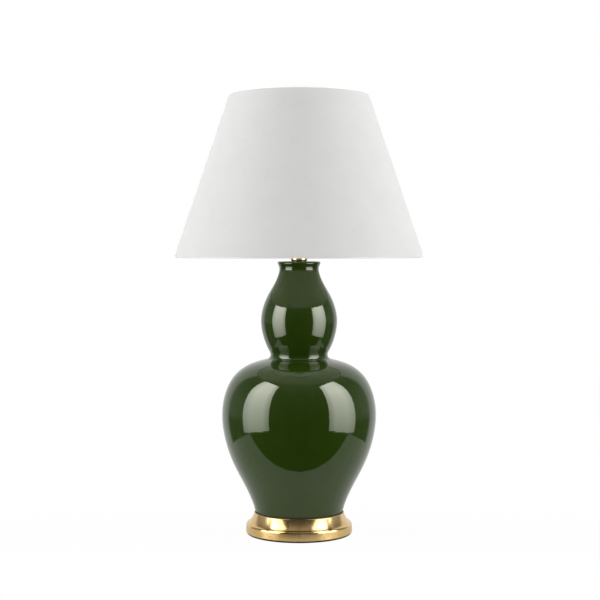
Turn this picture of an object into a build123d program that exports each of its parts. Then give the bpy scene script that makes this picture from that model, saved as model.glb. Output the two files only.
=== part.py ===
from build123d import *
import os
from math import atan2, cos, hypot, pi, radians, sin, tan

# A double gourd table lamp, in millimetres. The origin is the centre of the felt pad's
# underside, where the lamp stands on the table. +Z is up and -Y is the front.

# Clearances, all radial or end to end
thread_gap = 0.1
running_gap = 0.06
slide_gap = 0.3
glue_gap = 0.05
seat_gap = 0.2

# Foot: felt pad, turned brass base, cast weight
felt_thickness = 3.0
felt_inset = 1.5
base_height = 36.5
base_wall = 2.0
base_edge_radius = 1.0
band_height = 12.5
band_round_radius = 5.5
cove_width = 10.1
cove_depth = 1.3
lip_width = 1.0
lip_height = 2.5
lip_gap = 0.6
gasket_thickness = 1.0
weight_radius = 66.0
weight_height = 17.0
weight_edge_radius = 1.5

# Ceramic gourd, with each rise taken from the station below it
foot_radius = 80.6
foot_edge_radius = 4.0
foot_flare_angle = 7.4
foot_ring_width = 14.0
foot_ring_recess = 2.0
belly_radius = 141.8
flank_height = 180.0
waist_radius = 52.6
shoulder_height = 111.5
waist_fillet_radius = 8.0
shoulder_angle = 15.6
crown_radius = 70.1
bulge_height = 62.5
neck_radius = 36.2
taper_height = 95.5
rim_height = 13.4
rim_flare_width = 3.1
rim_width = 5.0
rim_slope = 2.0
rim_edge_radius = 2.4
dish_depth = 3.9
boss_radius = 14.0
boss_height = 6.0
ceramic_wall = 6.0
ceramic_floor = 9.0
ceramic_top = 8.0
cavity_samples = 6

# How each stretch of the gourd bulges: (share of the height, share of the change of radius)
flank_shares = [(0.12, 0.10), (0.31, 0.36), (0.51, 0.66), (0.76, 0.91)]
shoulder_shares = [(0.44, 0.09), (0.71, 0.28), (0.88, 0.55), (0.96, 0.81)]
bulge_shares = [(0.15, 0.20), (0.47, 0.68)]
taper_shares = [(0.23, 0.09), (0.48, 0.36), (0.74, 0.77), (0.88, 0.935)]

# Threaded lamp rod and its hardware
rod_radius = 5.0
rod_bore = 3.4
rod_tail = 2.0
nut_width = 14.3
nut_height = 5.0
saddle_nut_height = 4.0
washer_radius = 16.0
washer_thickness = 1.6
lock_washer_radius = 8.0
lock_washer_thickness = 1.5
lock_washer_split = 1.5

# Cord inlet at the back of the base
inlet_height = 5.4
bushing_bore = 3.2
bushing_wall = 1.0
bushing_flange = 1.0
bushing_length = 7.0

# Brass collar on the ceramic
collar_radius = 15.25
collar_height = 11.2
collar_wall = 1.5
top_gasket_thickness = 0.8

# Harp: saddle, wire bow, sleeves and swivel stud
harp_height = 266.7
harp_wire_radius = 2.0
saddle_half_width = 28.0
saddle_depth = 10.0
saddle_pad_radius = 10.0
saddle_thickness = 1.5
saddle_bend_radius = 5.0
saddle_shoulder_height = 8.0
tongue_height = 10.0
tongue_width = 4.5
harp_foot_radius = 3.0
harp_foot_height = 13.0
harp_half_width = 60.0
harp_straight_height = 26.0
harp_flare_height = 54.0
harp_bend_radii = (25.0, 40.0, 52.0)
harp_plate_radius = 7.5
sleeve_wall = 0.9
sleeve_lip = 1.2
stud_radius = 3.15
stud_height = 13.0
stud_pivot = 3.0
stud_head_radius = 4.8
stud_head_height = 1.6
stud_seat_radius = 9.0
stud_seat_height = 2.0

# Lamp socket
hub_radius = 9.0
hub_height = 6.0
cap_radius = 17.2
cap_wall = 0.8
cap_shoulder = 14.0
cap_flare_angle = 19.3
cap_height = 20.0
shell_height = 46.0
shell_wall = 0.6
shell_bead = 0.8
shell_lap = 6.0
liner_wall = 0.8
interior_height = 18.0
screw_shell_wall = 0.4
contact_thickness = 1.5
contact_radius = 3.5
terminal_radius = 2.8
terminal_thickness = 1.2
set_screw_radius = 1.5

# Rotary switch
switch_height = 25.0
switch_shaft_radius = 2.0
switch_shaft_end = 26.0
knob_start = 19.0
knob_length = 12.0
knob_radius = 7.5
knob_flutes = 12
flute_radius = 1.1

# Light bulb, with its heights taken from its tip
bulb_radius = 30.0
bulb_length = 110.0
bulb_glass_wall = 0.8
bulb_neck_radius = 12.3
bulb_neck_top = 28.0
bulb_cap_radius = 13.0
bulb_cap_wall = 0.4
bulb_cap_height = 20.0
bulb_tip_radius = 4.8
bulb_tip_height = 1.3
bulb_insulator_height = 4.0
bulb_swell_angle = 30.0

# Fabric shade, its wire frame and the finial
shade_bottom_radius = 228.6
shade_top_radius = 127.0
shade_height = 298.0
shade_drop = 23.3
fabric_thickness = 0.6
liner_thickness = 0.6
hem_width = 4.2
frame_wire_radius = 1.6
arm_radius = 1.5
arm_count = 3
arm_bend_radius = 8.0
arm_toe_width = 4.0
hub_disc_radius = 12.0
hub_disc_thickness = 2.0
finial_radius = 7.8
finial_height = 21.0
finial_foot_radius = 7.5
finial_foot_height = 2.0
finial_neck_radius = 4.4
finial_bore_depth = 12.0

# Heights on the lamp's axis, stacked from the table up
felt_top = felt_thickness
base_top = felt_top + base_height
deck_top = base_top - lip_height
deck_bottom = deck_top - base_wall
foot_level = deck_top + gasket_thickness
belly_level = foot_level + flank_height
waist_level = belly_level + shoulder_height
crown_level = waist_level + bulge_height
neck_level = crown_level + taper_height
rim_level = neck_level + rim_height
dish_level = rim_level - dish_depth
boss_level = dish_level + boss_height
weight_bottom = deck_bottom - weight_height
washer_bottom = weight_bottom - washer_thickness
lock_washer_bottom = washer_bottom - lock_washer_thickness
nut_bottom = lock_washer_bottom - nut_height
collar_bottom = boss_level + top_gasket_thickness
collar_top = collar_bottom + collar_height
saddle_top = collar_top + saddle_thickness
saddle_shoulder = collar_top + saddle_shoulder_height
socket_level = saddle_top + saddle_nut_height
shade_seat = saddle_top + harp_height
hub_top = shade_seat + hub_disc_thickness
shade_top = shade_seat + shade_drop
shade_bottom = shade_top - shade_height

# Radii and levels that follow from their neighbours
bolt_hole = rod_radius + thread_gap
lip_radius = foot_radius + lip_gap + lip_width
base_radius = lip_radius + cove_width + band_round_radius
rim_radius = neck_radius + rim_flare_width
shell_radius = cap_radius - cap_wall - seat_gap
liner_radius = shell_radius - shell_wall - seat_gap
interior_radius = liner_radius - liner_wall - seat_gap
screw_shell_radius = bulb_cap_radius + slide_gap
shell_bottom = socket_level + cap_height - shell_lap
interior_bottom = shell_bottom + seat_gap
interior_top = interior_bottom + interior_height
bulb_level = interior_top + contact_thickness + seat_gap
switch_level = socket_level + switch_height
inlet_level = felt_top + inlet_height
bushing_radius = bushing_bore + bushing_wall
dish_radius = rim_radius - rim_width - rim_slope
cavity_bottom = foot_level + ceramic_floor
cavity_top = dish_level - ceramic_top
hub_hole = stud_radius + slide_gap
slant_cos = shade_height / hypot(shade_height, shade_bottom_radius - shade_top_radius)


def turned(outline):
    """Solid of revolution about the lamp's axis, from a closed outline of radius and height."""
    return revolve(Plane.XZ * make_face(outline), Axis.Z)


def disc(radius, bottom, height):
    return Pos(0, 0, bottom) * extrude(Circle(radius), height)


def ring(outer, inner, bottom, height):
    return Pos(0, 0, bottom) * extrude(Circle(outer) - Circle(inner), height)


def hex_nut(bottom, height):
    blank = RegularPolygon(nut_width / 2, 6, major_radius=False) - Circle(bolt_hole)
    return Pos(0, 0, bottom) * extrude(blank, height)


def facing(side, height, distance):
    """Plane beside the axis with its Z pointing outwards: side 1 is the back, -1 the front."""
    return Plane(origin=(0, side * distance, height), x_dir=(1, 0, 0), z_dir=(0, side, 0))


# ---- Foot


def felt_pad():
    return disc(base_radius - felt_inset, 0, felt_thickness)


def base_outline():
    """Half section of the base: a plain band, a quarter round and a shallow cove up to the lip."""
    band_top = felt_top + band_height
    underside = Line((0, felt_top), (base_radius - base_edge_radius, felt_top))
    edge = TangentArc(underside @ 1, (base_radius, felt_top + base_edge_radius), tangent=(1, 0))
    band = Line(edge @ 1, (base_radius, band_top))
    quarter = TangentArc(
        band @ 1, (base_radius - band_round_radius, band_top + band_round_radius), tangent=(0, 1)
    )
    cove = SagittaArc(quarter @ 1, (lip_radius, base_top), cove_depth)
    deck = Line(cove @ 1, (0, base_top))
    return [underside, edge, band, quarter, cove, deck, Line(deck @ 1, underside @ 0)]


def brass_base():
    """Hollow turned shell with a recess for the ceramic's foot and a hole for the rod."""
    outside = turned(base_outline())
    inner_radius = base_radius - base_wall
    knee = (inner_radius, felt_top + band_height - base_wall)
    shoulder = (lip_radius - 2 * base_wall, deck_bottom)
    mouth = (inner_radius, felt_top)
    hollow = turned(
        Polyline((0, felt_top), mouth, knee, shoulder, (0, deck_bottom), close=True)
    )
    recess = disc(foot_radius + lip_gap, deck_top, lip_height)
    rod_hole = disc(bolt_hole, deck_bottom, base_height)
    inlet = facing(1, inlet_level, base_radius - 2 * base_wall)
    inlet_hole = inlet * extrude(Circle(bushing_radius + seat_gap), 3 * base_wall)
    return outside - hollow - recess - rod_hole - inlet_hole


def base_weight():
    """Cast iron slug clamped under the deck, with its edges chamfered."""
    slug = ring(weight_radius, bolt_hole, weight_bottom, weight_height)
    rims = slug.edges().filter_by(GeomType.CIRCLE).sort_by(SortBy.RADIUS)[-2:]
    return chamfer(rims, weight_edge_radius)


def cord_bushing():
    """Flanged plastic bushing through the back of the base, in line with the cord."""
    inside = facing(1, inlet_level, base_radius + seat_gap - bushing_length)
    sleeve = extrude(Circle(bushing_radius), bushing_length)
    flange = extrude(Circle(bushing_radius + bushing_flange), bushing_flange)
    bore = extrude(Circle(bushing_bore), bushing_length + bushing_flange)
    return inside * (sleeve + Pos(0, 0, bushing_length) * flange - bore)


# ---- Ceramic gourd


def station(lower, upper, share):
    """Point between two stations, at a share of the height and of the change of radius."""
    height, radius = share
    return (
        lower[0] + radius * (upper[0] - lower[0]),
        lower[1] + height * (upper[1] - lower[1]),
    )


def swell(lower, upper, shares, start, end=(0, 1)):
    """Smooth curve from one station to the next, with its directions at both ends."""
    middle = [station(lower, upper, share) for share in shares]
    return Spline([lower, *middle, upper], tangents=[start, end])


def gourd_outline():
    """Outside of the gourd from its foot to the outer edge of its rim, one edge per stretch."""
    foot = (foot_radius, foot_level)
    belly = (belly_radius, belly_level)
    waist = (waist_radius, waist_level)
    crown = (crown_radius, crown_level)
    neck = (neck_radius, neck_level)
    rim = (rim_radius, rim_level - rim_edge_radius)
    flare = radians(foot_flare_angle)
    slope = radians(shoulder_angle)
    inwards = (-cos(slope), sin(slope))
    shoulder = (
        waist[0] + waist_fillet_radius * (1 - sin(slope)),
        waist[1] - waist_fillet_radius * cos(slope),
    )
    return [
        swell(foot, belly, flank_shares, (sin(flare), cos(flare))),
        swell(belly, shoulder, shoulder_shares, (0, 1), inwards),
        TangentArc(shoulder, waist, tangent=inwards),
        swell(waist, crown, bulge_shares, (0, 1)),
        swell(crown, neck, taper_shares, (0, 1)),
        TangentArc(neck, rim, tangent=(0, 1)),
    ]


def gourd_cavity(outline):
    """Inside of the gourd: its outside moved in by the wall, between the floor and the top."""
    inner = []
    for edge in outline:
        for step in range(cavity_samples):
            along = step / cavity_samples
            point = edge @ along
            direction = edge % along
            inward = Vector(-direction.Y, direction.X) * ceramic_wall
            inner.append(point + inward)
    wall = Spline(inner)
    floor = Line((0, inner[0].Y), inner[0])
    top = Line(inner[-1], (0, inner[-1].Y))
    hollow = turned([floor, wall, top, Line(top @ 1, floor @ 0)])
    return hollow & disc(belly_radius, cavity_bottom, cavity_top - cavity_bottom)


def ceramic_body():
    """Slip-cast double gourd with a foot ring, a rounded rim and a pierced boss in its dish."""
    outside = gourd_outline()
    rising = outside[-1] % 1
    chord_angle = (atan2(rising.Y, rising.X) + pi) / 2
    land_start = (rim_radius + rim_edge_radius / tan(chord_angle), rim_level)
    lip = TangentArc(outside[-1] @ 1, land_start, tangent=rising)
    land = Line(land_start, (rim_radius - rim_width, rim_level))
    slope = Line(land @ 1, (dish_radius, dish_level))
    boss_foot = (boss_radius, dish_level)
    dish = Polyline(slope @ 1, boss_foot, (boss_radius, boss_level), (0, boss_level))
    base = Line((0, foot_level), outside[0] @ 0)
    blank = turned([base, *outside, lip, land, slope, dish, Line(dish @ 1, base @ 0)])
    foot = blank.edges().group_by(Axis.Z)[0]
    blank = fillet(foot, foot_edge_radius)
    blank -= disc(foot_radius - foot_ring_width, foot_level, foot_ring_recess)
    blank -= disc(bolt_hole + slide_gap, foot_level, boss_level - foot_level)
    return blank - gourd_cavity(outside)


def foot_gasket():
    outer = foot_radius - foot_edge_radius - seat_gap
    return ring(outer, foot_radius - foot_ring_width, deck_top, gasket_thickness)


# ---- Rod and its hardware


def lamp_rod():
    bottom = nut_bottom - rod_tail
    return ring(rod_radius, rod_bore, bottom, socket_level + hub_height - bottom)


def rod_washer():
    return ring(washer_radius, bolt_hole, washer_bottom, washer_thickness)


def rod_lock_washer():
    """Spring washer, split on one side."""
    washer = ring(lock_washer_radius, bolt_hole, lock_washer_bottom, lock_washer_thickness)
    split = Box(lock_washer_split, lock_washer_radius, 2 * lock_washer_thickness)
    return washer - Pos(0, -lock_washer_radius, washer_bottom) * split


def rod_nut():
    return hex_nut(nut_bottom, nut_height)


def top_gasket():
    return ring(collar_radius - seat_gap, bolt_hole, boss_level, top_gasket_thickness)


def neck_collar():
    """Hollow brass spacer between the ceramic and the harp's saddle."""
    collar = disc(collar_radius, collar_bottom, collar_height)
    collar = fillet(collar.edges().group_by(Axis.Z)[-1], collar_wall)
    collar -= disc(collar_radius - collar_wall, collar_bottom, collar_height - 2 * collar_wall)
    return collar - disc(bolt_hole, collar_bottom, collar_height)


def saddle_nut():
    return hex_nut(saddle_top, saddle_nut_height)


# ---- Harp


def harp_saddle():
    """Bent strip under the socket whose two upright tongues carry the harp."""
    half_width = saddle_half_width + saddle_thickness / 2
    tall = saddle_shoulder_height + tongue_height
    outer = Rectangle(2 * half_width, 2 * tall)
    outer = fillet(outer.vertices(), saddle_bend_radius + saddle_thickness)
    inner = Rectangle(2 * half_width - 2 * saddle_thickness, 2 * (tall - saddle_thickness))
    inner = fillet(inner.vertices(), saddle_bend_radius)
    trough = (outer - inner) & Pos(0, -tall / 2) * Rectangle(2 * half_width, tall)
    trough = Pos(0, collar_top + tall) * trough
    strip = Plane.XZ.offset(-saddle_depth / 2) * extrude(trough, saddle_depth)
    for side in (-1, 1):
        relief = Box(4 * saddle_thickness, saddle_depth, tongue_height)
        offset_y = side * (saddle_depth + tongue_width) / 2
        for end in (-1, 1):
            strip -= Pos(end * saddle_half_width, offset_y, saddle_shoulder + tongue_height / 2) * relief
    strip += disc(saddle_pad_radius, collar_top, saddle_thickness)
    return strip - disc(bolt_hole, collar_top, saddle_thickness)


def harp_wire():
    """Wire bow: slotted feet over the saddle's tongues and a pierced plate at the top."""
    foot_top = saddle_shoulder + harp_foot_height
    wire_top = shade_seat - stud_seat_height - harp_wire_radius
    kink = foot_top + harp_straight_height
    route = [
        (saddle_half_width, foot_top - harp_wire_radius),
        (saddle_half_width, kink),
        (harp_half_width, kink + harp_flare_height),
        (harp_half_width, wire_top),
    ]
    mirrored = [(-across, up) for across, up in route]
    radii = [*harp_bend_radii, *reversed(harp_bend_radii)]
    path = FilletPolyline(*mirrored, *reversed(route), radius=radii)
    wire_path = Plane.XZ * path
    bow = sweep(Plane(wire_path @ 0, z_dir=wire_path % 0) * Circle(harp_wire_radius), wire_path)
    bow += disc(harp_plate_radius, wire_top - harp_wire_radius, 2 * harp_wire_radius)
    slot = Box(saddle_thickness + 2 * slide_gap, 4 * harp_foot_radius, tongue_height + slide_gap)
    for side in (-1, 1):
        foot = disc(harp_foot_radius, saddle_shoulder, harp_foot_height)
        foot -= Pos(0, 0, saddle_shoulder + (tongue_height + slide_gap) / 2) * slot
        bow += Pos(side * saddle_half_width, 0, 0) * foot
    return bow - disc(stud_pivot + running_gap, wire_top - harp_wire_radius, 2 * harp_wire_radius)


def harp_sleeve(side):
    """Ferrule that locks one foot of the harp on the saddle."""
    bore = harp_foot_radius + slide_gap
    outer = bore + sleeve_wall
    chamber = harp_foot_height + slide_gap
    sleeve = ring(outer, bore, saddle_shoulder, chamber)
    sleeve += ring(outer, harp_wire_radius + slide_gap, saddle_shoulder + chamber, sleeve_lip)
    return Pos(side * saddle_half_width, 0, 0) * sleeve


def harp_stud():
    """Swivel stud: riveted head, pivot, seat for the shade and the thread for the finial."""
    seat_bottom = shade_seat - stud_seat_height
    plate_bottom = seat_bottom - 2 * harp_wire_radius
    stud = disc(stud_head_radius, plate_bottom - seat_gap - stud_head_height, stud_head_height)
    stud += disc(stud_pivot, plate_bottom - seat_gap, seat_bottom - plate_bottom + seat_gap)
    stud += disc(stud_seat_radius, seat_bottom, stud_seat_height)
    return stud + disc(stud_radius, shade_seat, stud_height)


# ---- Lamp socket


def cap_section(wall):
    """Half section of the socket cap's bell, moved in by a wall."""
    radius = cap_radius - wall
    rise = radians(cap_flare_angle)
    start = (hub_radius - wall, socket_level + hub_height)
    shoulder = (radius, socket_level + cap_shoulder)
    flare = Spline([start, shoulder], tangents=[(cos(rise), sin(rise)), (0, 1)])
    side = Line(flare @ 1, (radius, socket_level + cap_height))
    top = Line(side @ 1, (0, socket_level + cap_height))
    axis = Line(top @ 1, (0, start[1]))
    return [flare, side, top, axis, Line(axis @ 1, start)]


def socket_cap():
    """Spun brass cup with a threaded hub, which holds the socket on the rod."""
    bell = turned(cap_section(0)) - Pos(0, 0, cap_wall) * turned(cap_section(cap_wall))
    bell += disc(hub_radius, socket_level, hub_height)
    screw_hole = facing(1, socket_level + hub_height / 2, rod_radius) * extrude(
        Circle(set_screw_radius + thread_gap), hub_radius
    )
    return bell - disc(bolt_hole, socket_level, cap_height) - screw_hole


def socket_set_screw():
    start = bolt_hole + thread_gap
    screw = extrude(Circle(set_screw_radius), hub_radius + set_screw_radius - start)
    return facing(1, socket_level + hub_height / 2, start) * screw


def socket_shell():
    """Brass tube of the socket with a rolled mouth and a slot for the switch shaft."""
    shell = ring(shell_radius, shell_radius - shell_wall, shell_bottom, shell_height)
    bead = Pos(0, 0, shell_bottom + shell_height) * Torus(shell_radius, shell_bead)
    bore = disc(shell_radius - shell_wall, shell_bottom, 2 * shell_height)
    slot = extrude(Circle(switch_shaft_radius + slide_gap), shell_radius)
    return shell + bead - bore - facing(-1, switch_level, interior_radius) * slot


def socket_insulator():
    """Paper tube between the brass shell and the live parts."""
    height = shell_height - shell_bead - 2 * seat_gap
    tube = ring(liner_radius, liner_radius - liner_wall, shell_bottom, height)
    slot = extrude(Circle(switch_shaft_radius + slide_gap), shell_radius)
    return tube - facing(-1, switch_level, interior_radius / 2) * slot


def terminal_places():
    """Seats of the two terminal screws, left and right of the switch."""
    distance = interior_radius - terminal_thickness - slide_gap
    return [
        Plane(origin=(side * distance, 0, switch_level), z_dir=(side, 0, 0)) for side in (-1, 1)
    ]


def socket_interior():
    """Moulded block that carries the switch shaft, the two terminals and the contacts."""
    block = disc(interior_radius, interior_bottom, interior_height)
    bore = extrude(Circle(switch_shaft_radius + running_gap), 2 * interior_radius)
    block -= facing(-1, switch_level, -seat_gap) * bore
    for place in terminal_places():
        block -= place * extrude(Circle(terminal_radius + slide_gap), 2 * terminal_thickness)
    return block


def socket_terminals():
    screw = extrude(Circle(terminal_radius), terminal_thickness)
    return Compound([place * screw for place in terminal_places()])


def socket_centre_contact():
    return disc(contact_radius, interior_top, contact_thickness)


def socket_screw_shell():
    """Aluminium cup that the bulb screws into, open round the centre contact."""
    outer = screw_shell_radius + screw_shell_wall
    cup = ring(outer, screw_shell_radius, interior_top, bulb_cap_height + bulb_insulator_height)
    return cup + ring(outer, contact_radius + 2 * seat_gap, interior_top, screw_shell_wall)


# ---- Rotary switch


def switch_shaft():
    return facing(-1, switch_level, 0) * extrude(Circle(switch_shaft_radius), switch_shaft_end)


def switch_knob():
    """Fluted knob on the end of the shaft."""
    flutes = PolarLocations(knob_radius, knob_flutes) * Circle(flute_radius)
    knob = extrude(Circle(knob_radius) - flutes, knob_length)
    bore = extrude(Circle(switch_shaft_radius + glue_gap), switch_shaft_end - knob_start + glue_gap)
    return facing(-1, switch_level, knob_start) * (knob - bore)


# ---- Light bulb


def bulb_outline(inset):
    """Half outline of the glass, from its neck over the swell to the top."""
    radius = bulb_radius - inset
    centre = bulb_level + bulb_length - bulb_radius
    neck = bulb_neck_radius - inset
    low = bulb_level + bulb_tip_height + bulb_insulator_height + seat_gap
    swell_angle = radians(bulb_swell_angle)
    swell_point = (radius * cos(swell_angle), centre - radius * sin(swell_angle))
    stem = Line((neck, low), (neck, bulb_level + bulb_neck_top))
    flare = Spline([stem @ 1, swell_point], tangents=[(0, 1), (sin(swell_angle), cos(swell_angle))])
    dome = TangentArc(flare @ 1, (0, centre + radius), tangent=flare % 1)
    axis = Line(dome @ 1, (0, low))
    return [stem, flare, dome, axis, Line(axis @ 1, stem @ 0)]


def bulb_glass():
    return turned(bulb_outline(0)) - turned(bulb_outline(bulb_glass_wall))


def bulb_screw_cap():
    bottom = bulb_level + bulb_tip_height + bulb_insulator_height
    return ring(bulb_cap_radius, bulb_cap_radius - bulb_cap_wall, bottom, bulb_cap_height)


def bulb_insulator():
    """Black glass cone between the screw cap and the tip."""
    bottom = bulb_level + bulb_tip_height
    outline = Polyline(
        (0, bottom),
        (bulb_tip_radius, bottom),
        (bulb_cap_radius, bottom + bulb_insulator_height),
        (0, bottom + bulb_insulator_height),
        close=True,
    )
    return turned(outline)


def bulb_contact():
    return disc(bulb_tip_radius, bulb_level, bulb_tip_height)


# ---- Shade


def shade_radius(height, depth):
    """Radius of the shade's cone at a height, a depth inside its outer face."""
    share = (height - shade_bottom) / shade_height
    outer = shade_bottom_radius + share * (shade_top_radius - shade_bottom_radius)
    return outer - depth / slant_cos


def cone_shell(near, far, bottom, top):
    """Part of the cone's wall between two depths and two heights."""
    outline = Polyline(
        (shade_radius(bottom, near), bottom),
        (shade_radius(top, near), top),
        (shade_radius(top, far), top),
        (shade_radius(bottom, far), bottom),
        close=True,
    )
    return turned(outline)


def shade_cover():
    """Fabric cone whose edges turn in over the wire rings."""
    cover = cone_shell(0, fabric_thickness, shade_bottom, shade_top)
    cover += cone_shell(0, hem_width, shade_bottom, shade_bottom + fabric_thickness)
    return cover + cone_shell(0, hem_width, shade_top - fabric_thickness, shade_top)


def shade_liner():
    """White plastic sheet that the fabric is glued to."""
    inner = fabric_thickness + glue_gap
    margin = fabric_thickness + glue_gap
    return cone_shell(inner, inner + liner_thickness, shade_bottom + margin, shade_top - margin)


def wire_ring(height):
    """Steel ring seated against the liner at a height."""
    depth = fabric_thickness + liner_thickness + 2 * glue_gap + frame_wire_radius
    return Pos(0, 0, height) * Torus(shade_radius(height, depth), frame_wire_radius)


def shade_bottom_ring():
    return wire_ring(shade_bottom + fabric_thickness + glue_gap + frame_wire_radius)


def shade_top_frame():
    """Top ring, drop arms and the disc that sits on the harp's stud, welded into one."""
    ring_level = shade_top - fabric_thickness - glue_gap - frame_wire_radius
    arm_level = shade_seat + arm_radius
    depth = fabric_thickness + liner_thickness + 2 * glue_gap + frame_wire_radius
    ring_radius = shade_radius(ring_level, depth)
    frame = wire_ring(ring_level) + ring(hub_disc_radius, hub_hole, shade_seat, hub_disc_thickness)
    path = Plane.XZ * FilletPolyline(
        (hub_disc_radius - arm_radius, arm_level),
        (ring_radius - arm_toe_width, arm_level),
        (ring_radius, ring_level),
        radius=arm_bend_radius,
    )
    arm = sweep(Plane(path @ 0, z_dir=path % 0) * Circle(arm_radius), path)
    for turn in range(arm_count):
        frame += Rot(0, 0, 90 + turn * 360 / arm_count) * arm
    return frame


def finial():
    """Turned brass knob that screws down on the shade's disc."""
    ball_level = hub_top + finial_height - finial_radius
    drop = (finial_radius**2 - finial_neck_radius**2) ** 0.5
    foot = Polyline(
        (0, hub_top),
        (finial_foot_radius, hub_top),
        (finial_foot_radius, hub_top + finial_foot_height),
        (finial_neck_radius, ball_level - drop),
    )
    ball = ThreePointArc(
        foot @ 1, (finial_radius, ball_level), (0, ball_level + finial_radius)
    )
    knob = turned([foot, ball, Line(ball @ 1, foot @ 0)])
    return knob - disc(stud_radius + thread_gap, hub_top, finial_bore_depth)


pieces = {
    "felt_pad": felt_pad,
    "brass_base": brass_base,
    "base_weight": base_weight,
    "cord_bushing": cord_bushing,
    "foot_gasket": foot_gasket,
    "ceramic_body": ceramic_body,
    "lamp_rod": lamp_rod,
    "rod_washer": rod_washer,
    "rod_lock_washer": rod_lock_washer,
    "rod_nut": rod_nut,
    "top_gasket": top_gasket,
    "neck_collar": neck_collar,
    "saddle_nut": saddle_nut,
    "harp_saddle": harp_saddle,
    "harp_wire": harp_wire,
    "harp_sleeve_left": lambda: harp_sleeve(-1),
    "harp_sleeve_right": lambda: harp_sleeve(1),
    "harp_stud": harp_stud,
    "socket_cap": socket_cap,
    "socket_set_screw": socket_set_screw,
    "socket_shell": socket_shell,
    "socket_insulator": socket_insulator,
    "socket_interior": socket_interior,
    "socket_terminals": socket_terminals,
    "socket_centre_contact": socket_centre_contact,
    "socket_screw_shell": socket_screw_shell,
    "switch_shaft": switch_shaft,
    "switch_knob": switch_knob,
    "bulb_glass": bulb_glass,
    "bulb_screw_cap": bulb_screw_cap,
    "bulb_insulator": bulb_insulator,
    "bulb_contact": bulb_contact,
    "shade_cover": shade_cover,
    "shade_liner": shade_liner,
    "shade_top_frame": shade_top_frame,
    "shade_bottom_ring": shade_bottom_ring,
    "finial": finial,
}

os.makedirs("parts", exist_ok=True)
for name, make in pieces.items():
    export_step(make(), f"parts/{name}.step")
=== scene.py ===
from math import atan2, cos, exp, pi, radians, sin, sqrt, tan

import bmesh
import bpy
import numpy as np
from mathutils import Matrix, Vector, noise


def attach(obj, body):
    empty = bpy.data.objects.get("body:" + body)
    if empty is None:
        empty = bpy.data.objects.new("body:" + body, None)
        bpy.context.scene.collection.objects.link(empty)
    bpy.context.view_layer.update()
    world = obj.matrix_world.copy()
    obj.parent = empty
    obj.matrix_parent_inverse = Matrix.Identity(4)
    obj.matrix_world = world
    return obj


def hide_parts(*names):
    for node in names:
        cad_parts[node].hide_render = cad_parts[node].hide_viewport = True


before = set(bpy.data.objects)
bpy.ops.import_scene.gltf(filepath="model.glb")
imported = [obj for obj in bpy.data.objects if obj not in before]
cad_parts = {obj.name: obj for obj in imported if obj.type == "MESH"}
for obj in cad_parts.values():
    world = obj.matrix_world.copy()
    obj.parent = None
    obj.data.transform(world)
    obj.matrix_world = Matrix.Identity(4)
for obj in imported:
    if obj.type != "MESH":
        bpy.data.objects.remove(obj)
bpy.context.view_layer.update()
scene = bpy.context.scene
mm = 0.001
fullTurn = 2 * pi


# shader nodes

class Reading:  # one socket of a tree; arithmetic on it adds Math nodes
    def __init__(self, finish, socket):
        self.finish, self.socket = finish, socket

    def calc(self, operation, *others):
        return self.finish.maths(operation, self, *others)

    def __add__(self, other):
        return self.calc("ADD", other)

    def __sub__(self, other):
        return self.calc("SUBTRACT", other)

    def __rsub__(self, other):
        return self.finish.maths("SUBTRACT", other, self)

    def __mul__(self, other):
        return self.calc("MULTIPLY", other)

    def __truediv__(self, other):
        return self.calc("DIVIDE", other)

    __radd__, __rmul__ = __add__, __mul__


class Finish:  # the node tree of a material or of the world
    def __init__(self, owner):
        owner.use_nodes = True
        self.owner, self.tree = owner, owner.node_tree
        self.tree.nodes.clear()

    def add(self, kind, settings=None, values=(), output=0):
        node = self.tree.nodes.new(kind)
        for name, value in (settings or {}).items():
            if name == "stops":  # a ramp's stops: place and colour
                ramp = node.color_ramp.elements
                while len(ramp) < len(value):
                    ramp.new(1.0)
                for stop, (place, colour) in zip(ramp, value):
                    stop.position, stop.color = place, (*colour, 1.0)
            else:
                setattr(node, name, value)
        for key, value in values.items() if isinstance(values, dict) else enumerate(values):
            socket = node.inputs[key]
            if isinstance(value, Reading):
                self.tree.links.new(value.socket, socket)
            elif socket.type == "RGBA":
                socket.default_value = (*value[:3], 1.0)
            else:
                socket.default_value = value
        return Reading(self, node.outputs[output]) if node.outputs else None

    def maths(self, operation, *values):
        return self.add("ShaderNodeMath", {"operation": operation}, values)

    def other(self, reading, output):  # another output of the same node
        return Reading(self, reading.socket.node.outputs[output])

    def place(self):
        return self.add("ShaderNodeTexCoord", output="Object")

    def axes(self, vector):
        x = self.add("ShaderNodeSeparateXYZ", values=[vector])
        return x, self.other(x, 1), self.other(x, 2)

    def vector(self, x, y, z=0.0):
        return self.add("ShaderNodeCombineXYZ", values=[x, y, z])

    def grain(self, vector, scale, detail=2.0, rough=0.5):
        return self.add("ShaderNodeTexNoise", values={
            "Vector": vector, "Scale": scale, "Detail": detail, "Roughness": rough})

    def between(self, value, low, high, first=0.0, last=1.0):
        return self.add("ShaderNodeMapRange", {"interpolation_type": "SMOOTHSTEP"},
                        [value, low, high, first, last])

    def mix(self, share, first, second):
        return self.add("ShaderNodeMix", {"data_type": "RGBA"},
                        {0: share, 6: first, 7: second}, output=2)

    def bump(self, height, distance, strength=1.0):
        return self.add("ShaderNodeBump", values={
            "Height": height, "Distance": distance, "Strength": strength})

    def shader(self, values):
        return self.add("ShaderNodeBsdfPrincipled", values=values)

    def finish(self, shader, kind="Material"):
        self.add("ShaderNodeOutput" + kind, values=[shader])
        return self.owner


def newFinish(name):
    return Finish(bpy.data.materials.new(name))


# meshes

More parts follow.
